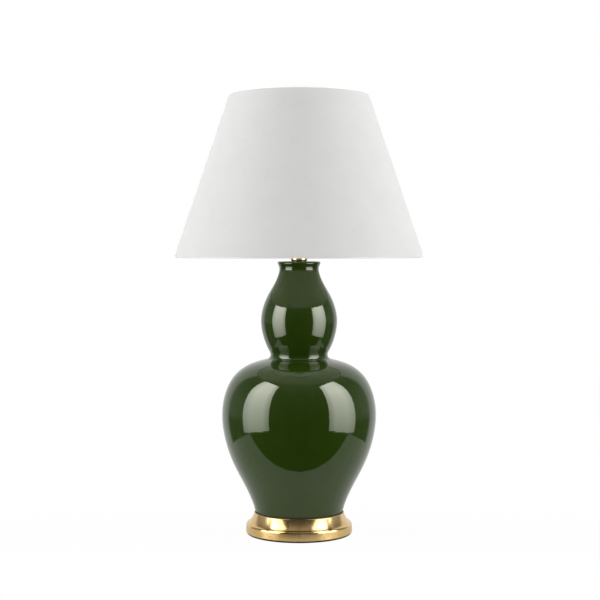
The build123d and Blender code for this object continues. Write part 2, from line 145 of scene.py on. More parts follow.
def addPiece(name, bm, material, body, crease=35.0):
    bmesh.ops.recalc_face_normals(bm, faces=bm.faces)
    mesh = bpy.data.meshes.new(name)
    bm.to_mesh(mesh)
    bm.free()
    mesh.polygons.foreach_set("use_smooth", [True] * len(mesh.polygons))
    mesh.set_sharp_from_angle(angle=radians(crease))
    mesh.materials.append(material)
    piece = bpy.data.objects.new(name, mesh)
    scene.collection.objects.link(piece)
    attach(piece, body)
    return piece


def evenAngles(count):
    return [fullTurn * k / count for k in range(count)]


def held(outline, gap=0.35):
    # extra points close to both ends of each long run, so that flats stay flat when shaded smooth
    points = []
    for i, here in enumerate(outline):
        start, end = Vector(here), Vector(outline[(i + 1) % len(outline)])
        points.append(here)
        run = (end - start).length
        if run > 5 * gap:
            points += [tuple(start.lerp(end, gap / run)), tuple(start.lerp(end, 1 - gap / run))]
    return points


def lathe(outline, angles, shape=None, flat=None):
    # closed outline of (radius, height) in mm turned about the axis
    # shape moves a point; flat gives its place on the flat cloth
    bm = bmesh.new()
    rings = []
    for radius, height in outline:
        if radius < 0.001:
            rings.append([bm.verts.new((0, 0, height * mm))] * len(angles))
            continue
        ring = []
        for angle in angles:
            r, z = shape(angle, radius, height) if shape else (radius, height)
            ring.append(bm.verts.new((r * cos(angle) * mm, r * sin(angle) * mm, z * mm)))
        rings.append(ring)
    layer = bm.loops.layers.uv.new("cloth") if flat else None
    count = len(angles)
    for row, lower in enumerate(rings):
        after = (row + 1) % len(rings)
        upper = rings[after]
        for k in range(count):
            n = (k + 1) % count
            corners = list(dict.fromkeys([lower[k], lower[n], upper[n], upper[k]]))
            if len(corners) < 3:
                continue
            face = bm.faces.new(corners)
            if flat:
                turn = angles[k + 1] if k + 1 < count else angles[0] + fullTurn
                places = (angles[k], row), (turn, row), (turn, after), (angles[k], after)
                for loop, (angle, index) in zip(face.loops, places):
                    loop[layer].uv = flat(angle, *outline[index])
    return bm


def smoothCurve(points, startAngle, endAngle, count):
    # cubic spline through the points, leaving and arriving at the two angles in degrees
    points = np.array(points, float)
    chord = np.hypot(*np.diff(points, axis=0).T)
    last = len(points) - 1
    matrix, right = np.eye(last + 1), np.zeros((last + 1, 2))
    right[0] = cos(radians(startAngle)), sin(radians(startAngle))
    right[last] = cos(radians(endAngle)), sin(radians(endAngle))
    for i in range(1, last):
        before, ahead = chord[i - 1], chord[i]
        matrix[i, i - 1:i + 2] = ahead, 2 * (before + ahead), before
        right[i] = 3 * (ahead / before * (points[i] - points[i - 1])
                        + before / ahead * (points[i + 1] - points[i]))
    slopes = np.linalg.solve(matrix, right)
    knots = np.concatenate([[0], np.cumsum(chord)])
    curve = []
    for along in np.linspace(0, knots[-1], count + 1):
        i = min(int(np.searchsorted(knots, along, side="right")) - 1, last - 1)
        h = chord[i]
        t = (along - knots[i]) / h
        curve.append(tuple(
            (2 * t**3 - 3 * t**2 + 1) * points[i] + (t**3 - 2 * t**2 + t) * h * slopes[i]
            + (3 * t**2 - 2 * t**3) * points[i + 1] + (t**3 - t**2) * h * slopes[i + 1]))
    return curve


def arc(centre, radius, first, last, count):
    # points on a circle, or on an ellipse if radius is a pair, between two angles in degrees
    wide, tall = radius if isinstance(radius, tuple) else (radius, radius)
    return [(centre[0] + wide * cos(radians(first + (last - first) * i / count)),
             centre[1] + tall * sin(radians(first + (last - first) * i / count)))
            for i in range(count + 1)]


def softCorners(outline, radius, count=3):
    # closed outline whose corners over 20 degrees are rounded
    rounded = []
    for i, here in enumerate(outline):
        before, ahead = Vector(outline[i - 1]), Vector(outline[(i + 1) % len(outline)])
        here = Vector(here)
        intoIt, outOfIt = here - before, ahead - here
        if intoIt.length < 1e-6 or outOfIt.length < 1e-6 or here.x < 0.001:
            rounded.append(tuple(here))
            continue
        turn = abs(intoIt.angle_signed(outOfIt))
        if turn < radians(20):
            rounded.append(tuple(here))
            continue
        reach = min(radius * tan(turn / 2), 0.45 * intoIt.length, 0.45 * outOfIt.length)
        start, end = here - intoIt.normalized() * reach, here + outOfIt.normalized() * reach
        for step in range(count + 1):
            t = step / count
            rounded.append(tuple((1 - t)**2 * start + 2 * t * (1 - t) * here + t**2 * end))
    return rounded


def threaded(outer, depth, pitch, low, high, inner, count=96):
    # tube with a rolled round thread: the crest climbs one pitch a turn
    rows = int((high - low) / pitch * 8)
    outline = [(outer, low + (high - low) * i / rows) for i in range(rows + 1)]
    outline += [(inner, high), (inner, low)]

    def roll(angle, radius, height):
        if radius < outer:
            return radius, height
        fade = min(1.0, (height - low) / pitch, (high - height) / pitch)
        wave = 0.5 - 0.5 * cos(fullTurn * height / pitch - angle)
        return radius - depth * wave * max(0.0, fade), height
    return lathe(outline, evenAngles(count), roll)


def dress(material, *names):
    for name in names:
        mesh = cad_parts[name].data
        mesh.materials.clear()
        mesh.materials.append(material)


# glazed gourd

gourd = {
    "foot": (80.6, 38.0), "footLean": 82.6, "footEdge": 4.0,
    "belly": (141.8, 218.0), "flank": [(0.12, 0.10), (0.31, 0.36), (0.51, 0.66), (0.76, 0.91)],
    "shoulder": [(0.44, 0.09), (0.71, 0.28), (0.88, 0.55), (0.96, 0.81)], "shoulderSlope": 15.6,
    "waist": (52.6, 329.5), "waistFillet": 8.0,
    "crown": (70.1, 392.0), "bulge": [(0.15, 0.20), (0.47, 0.68)],
    "neck": (36.2, 487.5), "taper": [(0.23, 0.09), (0.48, 0.36), (0.74, 0.77), (0.88, 0.935)],
    "throat": 12.0, "flareLean": 22.0, "rim": (39.3, 498.1), "rimEdge": (2.4, 2.8),
    "top": 500.9, "rimWidth": 5.0, "dish": (32.3, 497.0),
    "boss": (14.0, 503.0), "bossEdge": 1.0, "bossFoot": 1.5, "hole": 5.4, "holeEdge": 0.6,
    "footRing": 66.6, "recess": 40.0, "steps": 288, "castWave": 0.05, "waveLength": 55.0,
}


def stretch(lower, upper, shares):
    # both ends, and between them points at shares of the way up and across
    reach, rise = upper[0] - lower[0], upper[1] - lower[1]
    return [lower, *((lower[0] + wide * reach, lower[1] + up * rise) for up, wide in shares), upper]


def gourdOutline(g):
    slope = g["shoulderSlope"]
    fillet, (waistRadius, waistHeight) = g["waistFillet"], g["waist"]
    centre = (waistRadius + fillet, waistHeight)
    filletArc = arc(centre, fillet, 270 - slope, 180, 14)
    outline = smoothCurve(stretch(g["foot"], g["belly"], g["flank"]), g["footLean"], 90, 60)
    shoulder = stretch(g["belly"], filletArc[0], g["shoulder"])
    outline += smoothCurve(shoulder, 90, 180 - slope, 70)[1:]
    outline += filletArc[1:]
    outline += smoothCurve(stretch(g["waist"], g["crown"], g["bulge"]), 90, 90, 30)[1:]
    outline += smoothCurve(stretch(g["crown"], g["neck"], g["taper"]), 90, 90, 48)[1:]
    throat, lean, edge = g["throat"], g["flareLean"], g["rimEdge"]
    outline += arc((g["neck"][0] + throat, g["neck"][1]), throat, 180, 180 - lean, 8)[1:]
    lip = atan2(edge[1] * sin(radians(lean)), edge[0] * cos(radians(lean))) * 180 / pi
    outline += arc((g["rim"][0] - edge[0], g["rim"][1]), edge, -lip, 90, 14)
    outline += [(g["rim"][0] - g["rimWidth"], g["top"]), g["dish"]]
    (bossRadius, bossTop), bossEdge, bossFoot = g["boss"], g["bossEdge"], g["bossFoot"]
    floor = g["dish"][1]
    outline += [(bossRadius + bossFoot, floor), (bossRadius, floor + bossFoot)]
    outline += arc((bossRadius - bossEdge, bossTop - bossEdge), bossEdge, 0, 90, 5)
    hole, holeEdge, recess = g["hole"], g["holeEdge"], g["recess"]
    outline += [(hole + holeEdge, bossTop), (hole, bossTop - holeEdge)]
    outline += [(hole, recess), (g["footRing"], recess), (g["footRing"], g["foot"][1])]
    return outline + arc((g["foot"][0] - g["footEdge"], g["foot"][1] + g["footEdge"]),
                         g["footEdge"], 270, 350, 5)


def castWave(angle, radius, height):
    # the slow unevenness of slip-cast ware under its glaze
    if radius < gourd["neck"][0]:
        return radius, height
    where = Vector((radius * cos(angle), radius * sin(angle), height)) / gourd["waveLength"]
    return radius + gourd["castWave"] * noise.noise(where), height


glazeLook = {
    "deep": (0.0198, 0.0440, 0.0030), "thin": (0.048, 0.064, 0.014), "speck": (0.055, 0.05, 0.018),
    "shadedClay": (0.014, 0.012, 0.003), "deeperShadedClay": (0.006, 0.006, 0.001),
    "shadedFootLine": 43.2, "thinRim": 2.0,  # bare clay painted near black below, as painted shadow in the seam against the brass; glaze run thin this far down from the top
    "pools": 26.0, "streaks": (90.0, 14.0), "specks": 900.0, "smears": 60.0, "peel": (260.0, 45.0),
    "gloss": (0.035, 0.075), "ior": 1.5, "tint": (0.97, 1.0, 0.84), "peelDepth": 0.00004,
}


def glazeFinish(g, top):
    f = newFinish("oliveGlaze")
    spot = f.place()
    x, y, z = f.axes(spot)
    around, along = g["streaks"]
    streak = f.grain(f.vector(x * around, y * around, z * along), 1.0, 3.0)
    tone = f.between(f.grain(spot, g["pools"], 4.0) * 0.6 + streak * 0.4, 0.35, 0.68)
    thinRim = f.between(z, (top - g["thinRim"]) * mm, top * mm, 0.0, 0.55)
    colour = f.mix(tone * 0.16 + thinRim, g["deep"], g["thin"])
    speck = f.between(f.grain(spot, g["specks"], 1.0), 0.73, 0.78)
    colour = f.mix(speck * 0.35, colour, g["speck"])
    # below the line the foot is bare clay painted near black: painted shadow of the gap between the
    # foot and the brass lip
    bareShadedFoot = f.between(z, (g["shadedFootLine"] - 0.3) * mm, g["shadedFootLine"] * mm, 1.0, 0.0)
    shadedClay = f.mix(f.grain(spot, 700.0, 3.0), g["shadedClay"], g["deeperShadedClay"])
    rough = f.between(f.grain(spot, g["smears"], 3.0), 0.3, 0.8, *g["gloss"]) + bareShadedFoot * 0.8
    fine, broad = g["peel"]
    peel = f.grain(spot, fine, 2.0) * 0.4 + f.grain(spot, broad, 2.0)
    return f.finish(f.shader({
        "Base Color": f.mix(bareShadedFoot, colour, shadedClay), "Roughness": rough,
        "IOR": g["ior"], "Specular Tint": g["tint"],
        "Normal": f.bump(peel + bareShadedFoot * f.grain(spot, 1500.0), g["peelDepth"], 0.8)}))


gourdMesh = lathe(held(gourdOutline(gourd)), evenAngles(gourd["steps"]), castWave)
body = addPiece("gourdBody", gourdMesh, glazeFinish(glazeLook, gourd["top"]), "lamp_base")
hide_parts("ceramic_body")
print("gourd:", len(body.data.polygons), "faces")


# turned brass base, its felt and the collar

brassBase = {
    "bottom": 3.0, "radius": 97.8, "edge": 1.0, "bandTop": 15.5, "bandLean": 0.35,
    "quarterRound": 5.5, "lip": (82.2, 39.5), "lipEdge": 0.2, "coveDepth": 1.3,
    "recess": (81.2, 37.0), "wall": 2.0, "hole": 5.1, "steps": 256,
    "inlet": 8.4, "inletRadius": 4.4, "inletDepth": 16.0,
    "bright": (0.78, 0.56, 0.26), "deep": (0.67, 0.45, 0.17), "tarnish": (0.16, 0.095, 0.035),
    "rough": 0.19, "rings": 2600.0, "drawn": 0.6, "spots": 0.0,
    "seams": [(38.9, 39.3), (3.0, 3.6)],
}


def baseOutline(b):
    outer, inside = b["radius"], b["radius"] - b["wall"]
    corner = outer - b["quarterRound"]
    coveFoot = (corner, b["bandTop"] + b["quarterRound"])
    rise = Vector((b["lip"][0] - coveFoot[0], b["lip"][1] - coveFoot[1]))
    across = Vector((-rise.y, rise.x)).normalized() * b["coveDepth"]
    cove = [tuple(Vector(coveFoot) + rise * t + across * 4 * t * (1 - t)) for t in
            (i / 20 for i in range(21))]
    lean, edge, lipEdge = b["bandLean"], b["edge"], b["lipEdge"]
    (lipRadius, lipTop), (recessRadius, deckTop) = b["lip"], b["recess"]
    outline = arc((outer + lean - edge, b["bottom"] + edge), edge, 270, 360, 5)
    outline += arc((corner, b["bandTop"]), (b["quarterRound"] - lean, b["quarterRound"]), 0, 90, 16)
    outline += [*cove[1:-1], (lipRadius + 0.3, lipTop - 0.5), (lipRadius - lipEdge, lipTop),
                (recessRadius + lipEdge, lipTop), (recessRadius, lipTop - lipEdge), b["recess"]]
    deckBottom = deckTop - b["wall"]
    return outline + [(b["hole"], deckTop), (b["hole"], deckBottom),
                      (lipRadius - 2 * b["wall"], deckBottom), (inside, b["bandTop"] - b["wall"]),
                      (inside, b["bottom"])]


def cutBore(piece, centre, radius, length):
    # cord hole through the back wall
    bm = bmesh.new()
    turn = Matrix.Translation(Vector(centre) * mm) @ Matrix.Rotation(pi / 2, 4, "X")
    bmesh.ops.create_cone(bm, cap_ends=True, segments=48, radius1=radius * mm,
                          radius2=radius * mm, depth=length * mm, matrix=turn)
    mesh = bpy.data.meshes.new("borePlug")
    bm.to_mesh(mesh)
    bm.free()
    plug = bpy.data.objects.new("borePlug", mesh)
    scene.collection.objects.link(plug)
    cut = piece.modifiers.new("bore", "BOOLEAN")
    cut.object, cut.operation, cut.solver = plug, "DIFFERENCE", "EXACT"
    ready = piece.evaluated_get(bpy.context.evaluated_depsgraph_get())
    carved = bpy.data.meshes.new_from_object(ready)
    piece.modifiers.clear()
    piece.data = carved
    bpy.data.objects.remove(plug)


def brassFinish(name, b):
    # spun or turned brass: fine rings about the axis, tarnish in the seams, worn brighter elsewhere
    f = newFinish(name)
    spot = f.place()
    x, y, z = f.axes(spot)
    radius = f.add("ShaderNodeVectorMath", {"operation": "LENGTH"}, [f.vector(x, y)], "Value")
    rings = f.grain(f.vector(radius * b["rings"], z * b["rings"]), 1.0, 3.0, 0.6)
    cloud = f.grain(spot, 24.0, 4.0, 0.6)
    colour = f.mix(f.between(cloud * 0.7 + rings * 0.3, 0.38, 0.66), b["deep"], b["bright"])
    dirt = f.between(f.grain(spot, 75.0, 5.0, 0.65), 0.55, 0.8) * b["spots"]
    for low, high in b["seams"]:
        rise = f.between(z, low * mm, high * mm)
        dirt = dirt + rise * f.between(z, high * mm, (high + 0.4) * mm, 1.0, 0.0) * 0.75
    rough = b["rough"]
    return f.finish(f.shader({
        "Base Color": f.mix(dirt, colour, b["tarnish"]), "Metallic": 1.0,
        "Roughness": f.between(cloud, 0.3, 0.75, rough * 0.8, rough * 1.25) + dirt * 0.35,
        "Anisotropic": b["drawn"], "Anisotropic Rotation": 0.25,  # streaks gloss across the rings
        "Normal": f.bump(rings, 0.000012, 0.7)}))


footMesh = lathe(held(baseOutline(brassBase), 0.25), evenAngles(brassBase["steps"]))
foot = addPiece("brassFoot", footMesh, brassFinish("turnedBrass", brassBase), "lamp_base")
cutBore(foot, (0, brassBase["radius"], brassBase["inlet"]), brassBase["inletRadius"],
        brassBase["inletDepth"])
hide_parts("brass_base")

felt = {"radius": 96.3, "thickness": 3.0, "fuzz": 0.28, "steps": 720,
        "dark": (0.010, 0.011, 0.009), "light": (0.035, 0.036, 0.030)}


def feltEdge(angle, radius, height):
    # cut edge of the felt, a little ragged
    if radius < felt["radius"] - 2:
        return radius, height
    ragged = noise.noise(Vector((cos(angle) * 95, sin(angle) * 95, height * 0.8)))
    return radius + felt["fuzz"] * (ragged - 0.3), height


def feltFinish(c):
    f = newFinish("pressedFelt")
    spot = f.place()
    fibre = f.grain(spot, 1400.0, 6.0, 0.75)
    colour = f.mix(f.between(fibre, 0.35, 0.7), c["dark"], c["light"])
    return f.finish(f.shader({
        "Base Color": colour, "Roughness": 1.0, "Specular IOR Level": 0.15, "Sheen Weight": 0.25,
        "Normal": f.bump(fibre, 0.0005, 0.9)}))


feltOutline = [(0, 0), (60, 0), (felt["radius"] - 0.8, 0), (felt["radius"], 0.7),
               (felt["radius"], 2.3), (felt["radius"] - 0.6, felt["thickness"]),
               (60, felt["thickness"]), (0, felt["thickness"])]
pad = addPiece("feltPad", lathe(held(feltOutline), evenAngles(felt["steps"]), feltEdge),
               feltFinish(felt), "lamp_base")
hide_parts("felt_pad")

collar = {
    "bright": (0.80, 0.60, 0.31), "deep": (0.58, 0.38, 0.16), "tarnish": (0.14, 0.09, 0.035),
    "rough": 0.18, "rings": 3000.0, "drawn": 0.6, "spots": 0.12, "seams": [(503.0, 504.2)],
}
dress(brassFinish("collarBrass", collar), "neck_collar")
print("foot, felt and collar ready")


# fabric shade; all lengths in mm

shade = {
    "bottomRadius": 228.6, "topRadius": 127.0, "bottom": 508.5, "top": 806.5,
    "cloth": 0.6, "ringDepth": 2.9, "ringLift": 2.25, "ringRadius": 1.65, "tuck": 11.0,
    "rows": 64, "steps": 400, "panelWave": 0.16,
    "seamAngle": 90.0, "seamWidth": 9.0, "seamStep": 0.55,
    "seamRows": (0.0, 0.6, 1.4, 2.6, 4.2, 6.0, 7.6, 8.4, 8.8, 9.1, 9.4, 9.9, 11),
    "yarn": 0.00052, "slub": (1500.0, 45.0),
    "warm": (0.775, 0.77, 0.755), "cool": (0.845, 0.845, 0.84),
    "shadowYarn": (0.66, 0.65, 0.63),
}
flare = atan2(shade["bottomRadius"] - shade["topRadius"], shade["top"] - shade["bottom"])
slant = (shade["top"] - shade["bottom"]) / cos(flare)


def onCone(along, depth):
    # point a way up the shade's wall and a depth inside its face
    return (shade["bottomRadius"] - along * sin(flare) - depth * cos(flare),
            shade["bottom"] + along * cos(flare) - depth * sin(flare))


def coverOutline(s):
    # the cloth: up the face, over the top ring, tucked in, and back down behind the face
    ringDepth, lift, cloth, tuck = s["ringDepth"], s["ringLift"], s["cloth"], s["tuck"]
    low, high = lift + 0.6, slant - lift - 0.9
    inner = s["ringRadius"]
    face = [onCone(low + (high - low) * i / s["rows"], 0) for i in range(s["rows"] + 1)]

    def hem(end, sign):  # outer skin of a hem, then its inner skin back again
        skin = [onCone(end + sign * y, x) for x, y in
                arc((ringDepth, 0), (ringDepth, lift), 180, 90, 8)
                + arc((ringDepth, 0), (lift, lift), 90, 0, 8)[1:]]
        skin += [onCone(end - sign * tuck * 0.5, 3.6), onCone(end - sign * tuck, 2.0)]
        back = [onCone(end - sign * (tuck + 0.1), 1.4), onCone(end - sign * tuck * 0.5, 2.9)]
        back += [onCone(end + sign * y, x) for x, y in
                 arc((ringDepth, 0), (inner, inner), 0, 180, 12)]
        return skin, back
    topSkin, topBack = hem(high, 1)
    bottomSkin, bottomBack = hem(low, -1)
    behind = [onCone(high - 1 - (high - low - 2) * i / s["rows"], cloth)
              for i in range(s["rows"] + 1)]
    return face[1:-1] + topSkin + topBack + behind + bottomBack[::-1] + bottomSkin[::-1]


def clothShape(angle, radius, height):
    # slight waves of the laminated panel, and the lapped seam down the back
    share = (height - shade["bottom"]) / (shade["top"] - shade["bottom"])
    calm = max(0.0, min(1.0, 12 * share, 12 * (1 - share)))
    around = Vector((cos(angle) * 2.2, sin(angle) * 2.2, share * 2.5))
    out = shade["panelWave"] * noise.noise(around) * calm
    arcFromSeam = (angle - radians(shade["seamAngle"])) * radius
    lap = 1 / (1 + exp(min(60.0, max(-60.0, (arcFromSeam - shade["seamWidth"]) / 0.25))))
    rise = 1 - exp(-max(0.0, arcFromSeam) / 2.5)
    return radius + out + shade["seamStep"] * lap * rise, height


def clothPlace(angle, radius, height):
    # where the point lay on the flat cloth, in metres: the cone unrolled
    reach = radius / sin(flare) * mm
    turn = (angle - radians(shade["seamAngle"]) - pi) * sin(flare)
    return reach * sin(turn), reach * cos(turn)


def seamAngles(s):
    start = radians(s["seamAngle"])
    close = [away / s["bottomRadius"] for away in s["seamRows"]]
    rest = close[-1]
    return [start + a for a in close] + [
        start + rest + (fullTurn - rest) * k / s["steps"] for k in range(1, s["steps"])]


def linenFinish(s):
    # plain weave: warp and weft pass over each other in turn, with slubs along both
    f = newFinish("laminatedLinen")
    cloth = f.add("ShaderNodeUVMap", {"uv_map": "cloth"})
    u, v, _ = f.axes(cloth)
    perYarn = pi / s["yarn"]
    sway = f.grain(f.vector(u, v), 160.0, 2.0) * 1.4
    warp = (u * perYarn + sway).calc("SINE")
    weft = (v * perYarn + sway).calc("SINE")
    over = (warp * weft).calc("GREATER_THAN", 0.0)
    height = warp.calc("ABSOLUTE") * over + weft.calc("ABSOLUTE") * (1 - over)
    thin, long = s["slub"]
    slubUp = f.grain(f.vector(u * thin, v * long), 1.0, 3.0, 0.6)
    slubAcross = f.grain(f.vector(u * long, v * thin), 1.0, 3.0, 0.6)
    slub = f.between(slubUp * over + slubAcross * (1 - over), 0.42, 0.75)
    cloudy = f.grain(f.vector(u, v), 22.0, 3.0)
    colour = f.mix(f.between(cloudy * 0.5 + slub * 0.5, 0.2, 0.8), s["cool"], s["warm"])
    colour = f.mix((1 - height) * 0.30, colour, s["shadowYarn"])
    return f.finish(f.shader({
        "Base Color": colour, "Roughness": 0.92, "Specular IOR Level": 0.12,
        "Sheen Weight": 0.05, "Sheen Roughness": 0.5,
        "Normal": f.bump(height * 0.7 + slub * 0.6, 0.00008, 0.7)}))


coverMesh = lathe(coverOutline(shade), seamAngles(shade), clothShape, clothPlace)
cover = addPiece("shadeCloth", coverMesh, linenFinish(shade), "shade", 50.0)
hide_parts("shade_cover")

linerLook = {"fresh": (0.86, 0.86, 0.845), "aged": (0.82, 0.81, 0.775), "fleck": (0.72, 0.71, 0.68),
             "glow": (1.0, 0.97, 0.88), "paintedGlowStrength": 0.2}  # painted glow: the liner emits a little light in place of daylight through the cloth


def linerFinish(s):
    f = newFinish("whiteLiner")
    spot = f.place()
    fleck = f.grain(spot, 420.0, 5.0, 0.7)
    aged = f.grain(spot, 9.0, 3.0)
    colour = f.mix(f.between(aged, 0.3, 0.7) * 0.6, s["fresh"], s["aged"])
    colour = f.mix(f.between(fleck, 0.55, 0.8) * 0.2, colour, s["fleck"])
    return f.finish(f.shader({
        "Base Color": colour, "Roughness": f.between(fleck, 0.3, 0.7, 0.42, 0.6),
        # painted light: the liner glows as if lit through the cloth, though it is no lamp
        "Emission Color": s["glow"], "Emission Strength": s["paintedGlowStrength"],
        "Normal": f.bump(fleck, 0.00003, 0.5)}))


dress(linerFinish(linerLook), "shade_liner")

wireLook = {"paint": (0.80, 0.79, 0.76), "aged": (0.74, 0.73, 0.69), "steel": (0.30, 0.28, 0.26)}


def wireFinish(s):
    f = newFinish("whiteWire")
    spot = f.place()
    peel = f.grain(spot, 1100.0, 3.0)
    chip = f.between(f.grain(spot, 140.0, 5.0, 0.7), 0.70, 0.74)
    colour = f.mix(f.grain(spot, 60.0, 2.0), s["paint"], s["aged"])
    return f.finish(f.shader({
        "Base Color": f.mix(chip, colour, s["steel"]),
        "Metallic": chip * 0.8, "Roughness": 0.38 - chip * 0.06,
        "Normal": f.bump(peel - chip * 0.8, 0.00006, 0.6)}))


dress(wireFinish(wireLook), "shade_top_frame", "shade_bottom_ring")
print("shade:", len(cover.data.polygons), "faces")


# harp, its stud and the finial

harp = {
    "bright": (0.62, 0.44, 0.20), "deep": (0.47, 0.32, 0.13), "tarnish": (0.15, 0.10, 0.045),
    "rough": 0.32, "rings": 900.0, "drawn": 0.0, "spots": 0.12, "seams": [],
}
harpBrass = brassFinish("platedBrass", harp)
dress(harpBrass, "harp_wire", "harp_saddle", "harp_stud")

sleeve = {"bore": 3.3, "outer": 4.2, "bottom": 523.0, "top": 537.5, "wireHole": 2.3,
          "across": 28.0, "beads": (524.2, 535.6), "bead": 0.35}


def addSleeve(name, side, body, node):
    s = sleeve
    shelf = s["top"] - 1.2
    outline = [(s["bore"], shelf), (s["bore"], s["bottom"]), (s["outer"], s["bottom"])]
    for level in s["beads"]:
        outline += [(s["outer"], level - 0.7)]
        outline += arc((s["outer"], level), (s["bead"], 0.7), -90, 90, 6)[1:]
    outline += [(s["outer"], s["top"]), (s["wireHole"], s["top"]), (s["wireHole"], shelf)]
    bm = lathe(held(softCorners(outline, 0.25), 0.2), evenAngles(48))
    bmesh.ops.translate(bm, verts=bm.verts, vec=(side * s["across"] * mm, 0, 0))
    piece = addPiece(name, bm, harpBrass, body)
    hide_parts(node)


addSleeve("sleeveLeft", -1, "harp_sleeve_left", "harp_sleeve_left")
addSleeve("sleeveRight", 1, "harp_sleeve_right", "harp_sleeve_right")

knob = {"foot": 7.5, "bottom": 785.2, "footTop": 787.2, "neck": 4.4, "ball": 7.8,
        "ballLevel": 798.4, "bore": 3.25, "boreTop": 797.2,
        "bright": (0.84, 0.62, 0.33), "deep": (0.64, 0.42, 0.18), "tarnish": (0.15, 0.09, 0.035),
        "rough": 0.14, "rings": 3200.0, "drawn": 0.0, "spots": 0.12, "seams": [(784.6, 787.4)]}


def finialOutline(k):
    drop = atan2(sqrt(k["ball"]**2 - k["neck"]**2), k["neck"]) * 180 / pi
    neckLevel = k["ballLevel"] - sqrt(k["ball"]**2 - k["neck"]**2)
    outline = [(k["bore"], k["boreTop"]), (k["bore"], k["bottom"]), (k["foot"], k["bottom"])]
    outline += arc((k["foot"] - 0.8, k["footTop"] - 0.8), 0.8, 0, 90, 4)
    outline += arc((k["neck"] + 1.6, k["footTop"] + 1.4), (1.6, 1.4), 270, 180, 6)
    outline += [(k["neck"], neckLevel - 0.5)]
    return outline + arc((0, k["ballLevel"]), k["ball"], -drop, 90, 30) + [(0, k["boreTop"])]


finialPiece = addPiece("finialKnob", lathe(held(finialOutline(knob), 0.25), evenAngles(72)),
                       brassFinish("finialBrass", knob), "finial")
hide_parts("finial")


# socket, switch and bulb

socket = {
    "bright": (0.66, 0.47, 0.22), "deep": (0.50, 0.33, 0.14), "tarnish": (0.16, 0.1, 0.04),
    "rough": 0.28, "rings": 2400.0, "drawn": 0.0, "spots": 0.12, "seams": [],
}
dress(brassFinish("spunBrass", socket), "socket_cap", "socket_shell")

# moulded, cast and plated stuffs, and the nodes that are made of them
stuffs = {
    "zincSteel": {
        "tones": ((0.52, 0.52, 0.50), (0.64, 0.64, 0.62)), "metallic": 1.0,
        "grain": 180.0, "rough": 0.32, "relief": 0.00003,
        "on": ("rod_washer", "rod_lock_washer", "rod_nut", "saddle_nut", "lamp_rod",
               "socket_set_screw", "switch_shaft")},
    "castIron": {
        "tones": ((0.035, 0.033, 0.031), (0.075, 0.07, 0.065)), "metallic": 0.0,
        "grain": 220.0, "rough": 0.7, "relief": 0.0004, "on": ("base_weight",)},
    "blackRubber": {
        "tones": ((0.018, 0.018, 0.018), (0.03, 0.03, 0.03)), "metallic": 0.0,
        "grain": 300.0, "rough": 0.75, "relief": 0.00008, "on": ("foot_gasket",)},
    "amberRubber": {
        "tones": ((0.085, 0.062, 0.018), (0.12, 0.088, 0.028)), "metallic": 0.0,
        "grain": 300.0, "rough": 0.6, "relief": 0.00006, "on": ("top_gasket",)},
    "bushingPlastic": {
        "tones": ((0.02, 0.019, 0.018), (0.032, 0.03, 0.028)), "metallic": 0.0,
        "grain": 500.0, "rough": 0.45, "relief": 0.00004, "on": ("cord_bushing",)},
    "blackPhenolic": {
        "tones": ((0.012, 0.011, 0.010), (0.024, 0.021, 0.018)), "metallic": 0.0,
        "grain": 400.0, "rough": 0.22, "relief": 0.00002,
        "on": ("socket_interior", "bulb_insulator")},
    "fibrePaper": {
        "tones": ((0.25, 0.2, 0.14), (0.34, 0.28, 0.2)), "metallic": 0.0,
        "grain": 600.0, "rough": 0.8, "relief": 0.00006, "on": ("socket_insulator",)},
    "brightAluminium": {
        "tones": ((0.74, 0.74, 0.73), (0.82, 0.82, 0.81)), "metallic": 1.0,
        "grain": 240.0, "rough": 0.28, "relief": 0.00002,
        "on": ("bulb_contact", "socket_centre_contact", "socket_terminals")},
    "softWhiteGlass": {
        "tones": ((0.86, 0.86, 0.84), (0.89, 0.89, 0.875)), "metallic": 0.0,
        "grain": 90.0, "rough": 0.4, "relief": 0.000002, "on": ("bulb_glass",)},
}


def plainFinish(name, s):
    # two tones of grain, and relief from the same grain
    f = newFinish(name)
    spot = f.place()
    coarse, fine = f.grain(spot, s["grain"], 4.0, 0.6), f.grain(spot, s["grain"] * 6, 3.0, 0.6)
    colour = f.mix(f.between(coarse * 0.6 + fine * 0.4, 0.35, 0.68), *s["tones"])
    return f.finish(f.shader({
        "Base Color": colour, "Metallic": s["metallic"],
        "Roughness": f.between(coarse, 0.3, 0.7, s["rough"] * 0.8, s["rough"] * 1.2),
        "Normal": f.bump(coarse * 0.5 + fine, s["relief"], 0.8)}))


plain = {name: plainFinish(name, stuff) for name, stuff in stuffs.items()}
for name, stuff in stuffs.items():
    dress(plain[name], *stuff["on"])
aluminium, phenolic = plain["brightAluminium"], plain["blackPhenolic"]

bulbCap = {"outer": 13.0, "bore": 12.6, "bottom": 559.7, "top": 579.7, "pitch": 3.63, "depth": 0.3}
bulbThread = threaded(bulbCap["outer"], bulbCap["depth"], bulbCap["pitch"],
                      bulbCap["bottom"], bulbCap["top"], bulbCap["bore"])
capPiece = addPiece("bulbThread", bulbThread, aluminium, "bulb", 60.0)
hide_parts("bulb_screw_cap")

switchKnob = {"level": 545.5, "start": 19.0, "length": 12.0, "radius": 7.5, "flutes": 12,
              "flute": 1.0, "dome": 1.2, "bore": 2.05, "boreDepth": 7.0}


